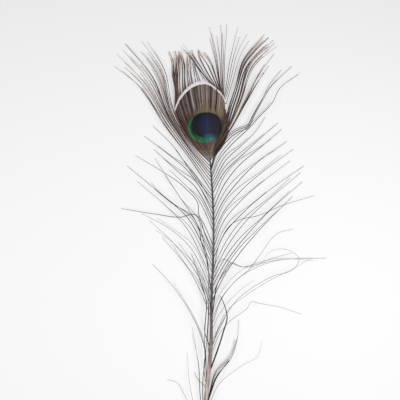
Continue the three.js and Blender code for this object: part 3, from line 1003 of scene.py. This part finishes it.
LEFT_LOCKS = (
    (203, [(-7, 216), (-14, 226), (-24, 240), (-38, 254)], 2, 0.27),
    (196, [(-5, 211), (-13, 222), (-27, 234), (-44, 247)], 2, 0.27),
    (188, [(-2.5, 202), (-8, 211), (-21, 223), (-37, 238)], 2, 0.27),
    (181, [(-2, 195), (-8, 205), (-17, 214), (-27, 223)], 2, 0.24),
    (163, [(-2, 175), (-9, 189), (-20, 205), (-37, 231)], 2, 0.23),
    (156, [(-3.5, 172), (-13, 189), (-32, 206), (-56, 226)], 2, 0.26),
    (147, [(-3.5, 162), (-14, 182), (-29, 198), (-49, 215)], 2, 0.22),
    (138, [(-3, 153), (-11, 168), (-26, 182), (-46, 193)], 2, 0.19),
    (129, [(-3, 143), (-10, 155), (-24, 172), (-41, 187)], 2, 0.18),
    (121, [(-3.5, 136), (-10, 149), (-20, 163), (-32, 176)], 2, 0.2),
    (77, [(-2, 100), (-10, 121), (-23, 141), (-38, 157)], 2, 0.22),
    (48, [(-5, 66), (-6, 86), (-8, 98), (-11, 113)], 2, 0.16),
    (38, [(-10, 62), (-12, 74), (-13, 83), (-14, 95)], 1, 0.14),
)
VANE_STEPS = 34
ROOTS_APART = 4.4
LOW_VANE, LOW_ROOTS_APART = 100.0, 1.2
ROOT_SCATTER = 0.3
JOIN_START, JOIN_LENGTHS = 0.25, (0.3, 0.6)
STRAND_GAP = 0.35
FORK, FORK_START = 1.6, 0.65
VANE_REACH = (0.65, 0.98)
VANE_RIPPLE = 0.35
VANE_HALVES = (0.65, 0.9)
VANE_FLUE = 0.12

vane_finish = loose_finish(
    "vane_barbs", dark=(30, 26, 30), light=(70, 61, 66), tip=(84, 74, 78), painted_glint=(86, 75, 81)
)
vane_draw = np.random.default_rng(37)


def vane_lock(node, lock, height_above, side):
    """The barbs of one lock. Their feet are spread evenly up to the lock above, if it is near. They run
    side by side at first, then join the lock's line one after the other by a smooth step, and part from
    it again by another in its last third. The first barb keeps to the line and its full length."""
    height, places, count, half = lock
    line = smooth_through(rooted(height, places, side), VANE_STEPS)
    share = np.linspace(0, 1, VANE_STEPS)[None]
    seat = np.arange(count)
    first = seat == 0
    most_apart = ROOTS_APART if height > LOW_VANE else LOW_ROOTS_APART
    spacing = min((height_above - height) / count, most_apart)
    root = height + seat * spacing + vane_draw.uniform(-ROOT_SCATTER, ROOT_SCATTER, count)
    start = np.stack([root_across(root, side), root], axis=1)
    join = vane_draw.uniform(*JOIN_LENGTHS, (count, 1))
    apart = 1 - smooth_step((share - JOIN_START) / join)
    flat = line[None] + (start - line[0])[:, None] * apart[..., None]
    beside = beside_tracks(flat)
    parting = smooth_step((share - FORK_START) / (1 - FORK_START))
    fork = vane_draw.normal(0, FORK, (count, 1)) * ~first[:, None] * parting
    gap = -side * seat[:, None] * STRAND_GAP * smooth_step(share * 2)
    flat = flat + beside * (gap + fork)[..., None]
    reach = np.where(first, 1.0, vane_draw.uniform(*VANE_REACH, count))
    flat = ripple(cut_short(flat, reach), VANE_RIPPLE, vane_draw)
    tracks = lift(flat, 0.0, shaft_middle(root), vane_draw)
    halves = half * np.where(first, 1.0, vane_draw.uniform(*VANE_HALVES, count))
    loose_barbs(node + "_barbs", node, tracks, halves, VANE_FLUE, 0.0, vane_finish, vane_draw)


def vane(name, locks, side):
    """All the locks of one vane, from the eye down."""
    heights_above = [locks[0][0] + ROOTS_APART, *(lock[0] for lock in locks)]
    for number, (lock, height_above) in enumerate(zip(locks, heights_above), 1):
        vane_lock(f"{name}_{number:02d}", lock, height_above, side)


vane("vane_right_lock", RIGHT_LOCKS, 1)
vane("vane_left_lock", LEFT_LOCKS, -1)

# ------------------------------------------------------------------------------
# Strays. Single barbs that were bent in handling: some are kinked, one has curled into an open loop, and
# all of them lie across their neighbours.
# ------------------------------------------------------------------------------
# Each stray: the level it crosses on, the height at which it leaves the shaft, its places and half width.
STRAYS = (
    ("stray_barb_02", 1, 153, [(10, 175), (18, 186), (22, 188), (35, 191), (52, 198), (75, 205)], 0.21),
    ("stray_barb_03", 1, 116, [
        (10.5, 134), (20, 146), (29, 153.5), (37, 164), (50, 179), (60, 181.5),
    ], 0.19),
    ("stray_barb_04", 2, 102, [
        (20, 132), (45, 149), (61, 155), (64, 161), (57, 167), (46, 167), (40, 162),
    ], 0.15),
    ("stray_barb_05", 0, 96, [
        (9, 109), (16.5, 118), (23.5, 123), (29, 128), (30.5, 131), (36, 130), (51, 127), (66, 122),
    ], 0.13),
    ("stray_barb_06", 1, 84, [(11, 109), (14, 121), (12, 129), (9.5, 134.5)], 0.56),
    ("stray_barb_07", 1, 165, [
        (-2, 180), (-5, 188.5), (-7.5, 191.5), (-19, 190), (-35, 192), (-60, 196),
    ], 0.28),
    ("stray_barb_08", 2, 171, [(-2, 185), (-6, 193), (-6, 198), (-16, 211), (-33, 223), (-50, 233)], 0.25),
    ("stray_barb_09", 0, 33, [(-9, 51), (-16, 66), (-21, 74), (-28, 76)], 0.17),
)
STRAY_STEPS = 60
STRAY_FLUE = 0.35
STRAY_WANDER = 0.2

stray_draw = np.random.default_rng(41)


def single_barb(name, node, level, root, places, half, flue, draw):
    """A piece of one barb on a level of its own: the smooth curve from its root through its places. It
    leaves the shaft on the side that its tip lies on."""
    side = np.sign(places[-1][0] - shaft_across(places[-1][1]))
    flat = smooth_through(rooted(root, places, side), STRAY_STEPS)[None]
    tracks = lift(flat, level, shaft_middle(root), draw, STRAY_WANDER)
    loose_barbs(name, node, tracks, np.array([half]), flue, 0.0, vane_finish, draw)


for stray_node, *stray_row in STRAYS:
    single_barb(stray_node + "_fibre", stray_node, *stray_row, STRAY_FLUE, stray_draw)

# ------------------------------------------------------------------------------
# Runners. Single barbs that cling along the shaft before they bend out into a lock or a stray higher up. A
# few on the right are kinked, bunched or very fine.
# ------------------------------------------------------------------------------
# Each runner: the node it ends in, the height at which it leaves the shaft, its places and its half width.
RUNNERS = (
    ("vane_left_lock_10", 58, [
        (-3.2, 66), (-2.8, 78), (-1.4, 90), (-1.8, 102), (-1.2, 116), (-0.4, 128), (-6, 152),
    ], 0.24),
    ("vane_left_lock_10", 74, [
        (-2.2, 84), (-0.8, 97), (0.2, 112), (0.9, 126), (0.2, 138), (-3, 149), (-9, 161),
    ], 0.2),
    ("vane_left_lock_10", 100, [
        (-1.6, 110), (-0.9, 120), (-0.5, 131), (-5, 146), (-9, 159), (-11, 164.5),
    ], 0.32),
    ("vane_left_lock_09", 94, [
        (0.4, 108), (1.2, 120), (0.4, 134), (-3.6, 147), (-11, 160), (-20, 172),
    ], 0.2),
    ("vane_left_lock_06", 139, [
        (1.6, 147), (0.3, 156.5), (-1.2, 164), (-3.8, 172), (-6, 183), (-9.5, 189.5), (-25.5, 200.5),
        (-36.5, 209.5),
    ], 0.3),
    ("stray_barb_08", 126, [(1.2, 138), (1.2, 150), (-0.2, 163), (-2.8, 174), (-5, 186), (-6, 193)], 0.24),
    ("vane_left_lock_12", 71, [(-3, 73.5), (-5.5, 75.5), (-7.2, 78), (-9, 81.5)], 0.22),
    ("vane_right_lock_12", 122, [
        (5.2, 133), (6.2, 140), (8.2, 145.5), (10.5, 149.5), (14, 154), (17, 158.5),
    ], 0.36),
    ("vane_right_lock_13", 130, [
        (6, 138), (8, 145), (12, 150.5), (16.8, 158), (24.5, 155.5), (31.5, 155.5), (42, 160), (60, 165),
    ], 0.15),
    ("vane_right_lock_13", 145, [
        (6.5, 153), (8.5, 158.5), (11, 160.5), (17.5, 158), (24, 155.5), (33.5, 157), (45, 159.5),
        (74, 161.5),
    ], 0.13),
    ("stray_barb_04", 104, [(16, 127), (25.5, 134.5), (40, 144), (60, 154), (74.5, 161), (83, 161)], 0.12),
    ("stray_barb_04", 112, [(9, 123), (16, 132), (24, 139.5), (33, 146)], 0.12),
    ("stray_barb_05", 100, [(8, 112), (12, 119), (15, 124)], 0.22),
    ("vane_right_lock_14", 50, [(0.4, 60), (3.2, 69), (6.5, 77.5), (11, 84), (15.5, 89.5)], 0.5),
)
RUNNER_LEVEL = 0.3

runner_draw = np.random.default_rng(43)
for runner_number, (runner_node, *runner_row) in enumerate(RUNNERS, 1):
    runner_name = f"runner_{runner_number:02d}_fibre"
    single_barb(runner_name, runner_node, RUNNER_LEVEL, *runner_row, VANE_FLUE, runner_draw)
